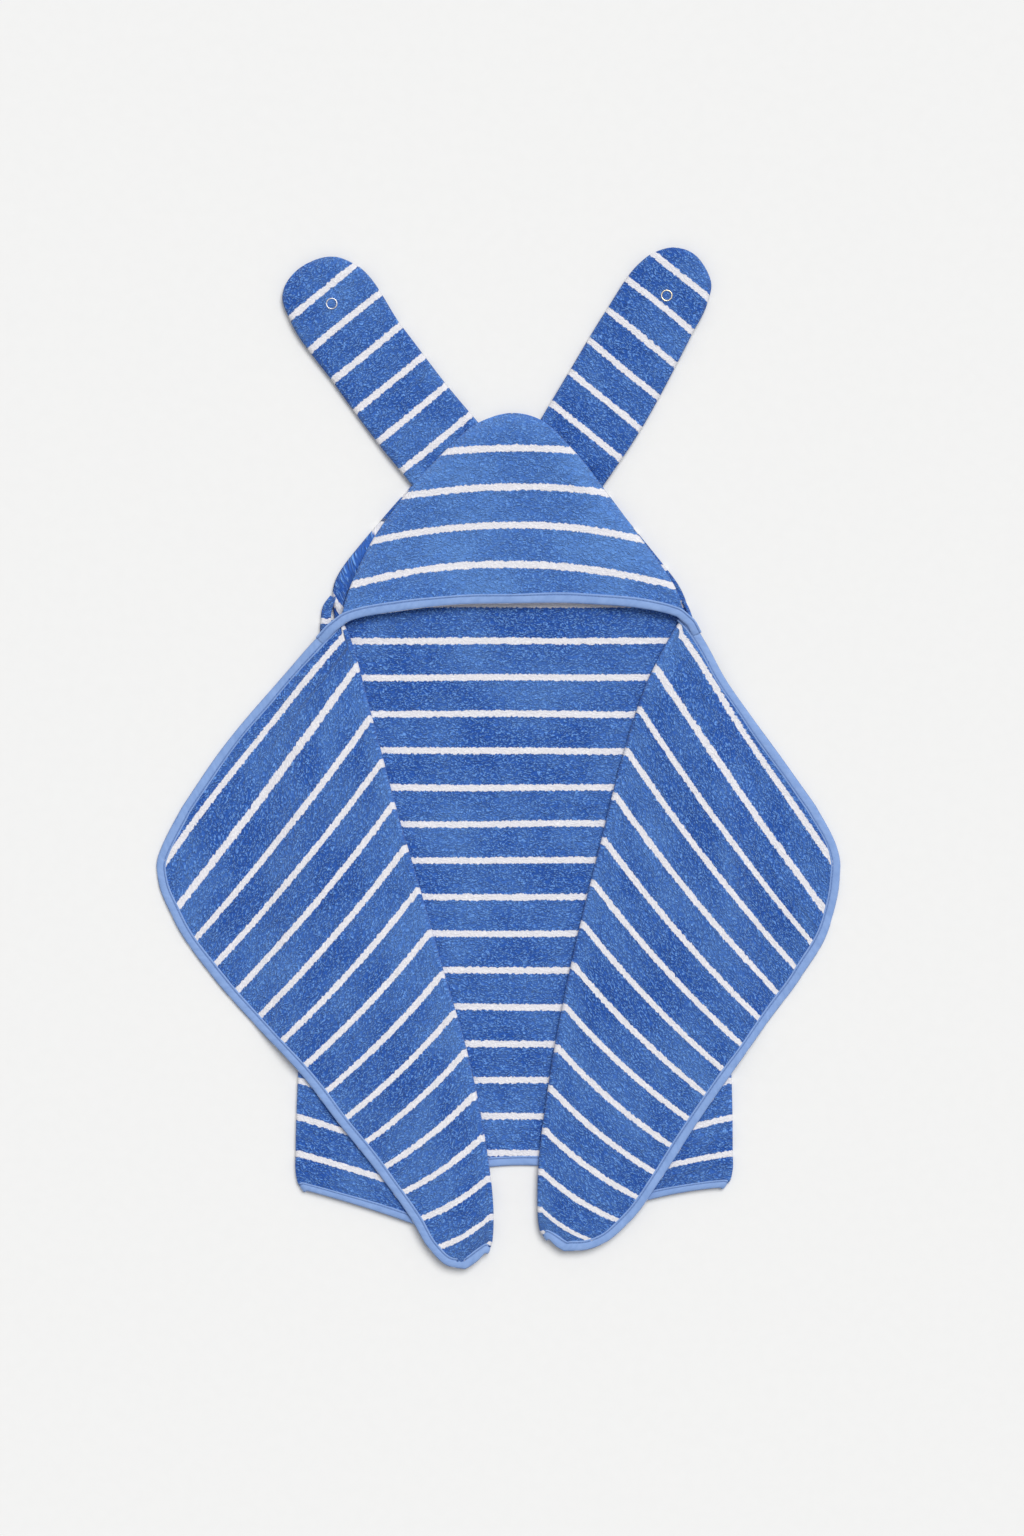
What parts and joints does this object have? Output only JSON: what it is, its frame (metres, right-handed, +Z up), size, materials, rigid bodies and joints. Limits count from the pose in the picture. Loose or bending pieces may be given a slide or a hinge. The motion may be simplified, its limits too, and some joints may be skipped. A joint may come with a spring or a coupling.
{
  "type": "hooded baby towel",
  "caption": "Striped terry baby towel with a hood, long ears that snap together, bound edges, and sides folded over the front.",
  "frame": {"origin": "centre of the underside of the folded towel, on the surface it lies on", "axes": "+Z up, +Y from the hem towards the ears, +X to the right seen from above"},
  "size_m": [0.6284, 0.9425, 0.0128],
  "materials": {
    "terry": "cotton terry, mid blue with thin off-white stripes",
    "binding": "smooth light blue woven bias binding",
    "snap_pewter": "satin pewter",
    "snap_gold": "pale gold"
  },
  "bodies": {
    "panel": {"centre_panel": "terry", "centre_hem_binding": "binding"},
    "left_side": {"left_side_panel": "terry", "left_side_hem_binding": "binding"},
    "left_wing": {"left_wing_panel": "terry", "left_wing_binding": "binding"},
    "right_side": {"right_side_panel": "terry", "right_side_hem_binding": "binding"},
    "right_wing": {"right_wing_panel": "terry", "right_wing_binding": "binding"},
    "hood": {"hood_back": "terry", "hood_front": "terry", "hood_edge_binding": "binding"},
    "left_ear": {"left_ear_front": "terry", "left_ear_back": "terry", "left_snap_ring": "snap_pewter", "left_snap_socket": "snap_pewter", "left_snap_spring": "snap_pewter"},
    "right_ear": {"right_ear_front": "terry", "right_ear_back": "terry", "right_snap_ring": "snap_gold", "right_snap_stud": "snap_gold"}
  },
  "joints": [
    {"name": "left_side_fold", "type": "hinge", "parent": "panel", "child": "left_side", "pos_m": [-0.16, 0.127, 0.0034], "axis": [-0.0527, -0.9986, 0], "range_deg": [0, 172]},
    {"name": "left_wing_fold", "type": "hinge", "parent": "left_side", "child": "left_wing", "pos_m": [-0.129, 0.123, 0.007], "axis": [-0.2325, 0.9726, 0], "range_deg": [0, 172]},
    {"name": "right_side_fold", "type": "hinge", "parent": "panel", "child": "right_side", "pos_m": [0.182, 0.127, 0.0034], "axis": [-0.0663, 0.9978, 0], "range_deg": [0, 172]},
    {"name": "right_wing_fold", "type": "hinge", "parent": "right_side", "child": "right_wing", "pos_m": [0.142, 0.128, 0.007], "axis": [-0.2191, -0.9757, 0], "range_deg": [0, 172]},
    {"name": "hood_fold", "type": "hinge", "parent": "panel", "child": "hood", "pos_m": [0, 0.128, 0.0133], "axis": [1, 0, 0], "range_deg": [0, 90]},
    {"name": "left_ear_fold", "type": "hinge", "parent": "hood", "child": "left_ear", "pos_m": [-0.05, 0.28, 0.0133], "axis": [0.7311, 0.6823, 0], "range_deg": [0, 176]},
    {"name": "right_ear_fold", "type": "hinge", "parent": "hood", "child": "right_ear", "pos_m": [0.0685, 0.282, 0.0133], "axis": [0.7131, -0.701, 0], "range_deg": [0, 160]}
  ],
  "couplings": [
    {"joint": "left_wing_fold", "follows": "left_side_fold", "ratio": 1},
    {"joint": "right_wing_fold", "follows": "right_side_fold", "ratio": 1}
  ]
}
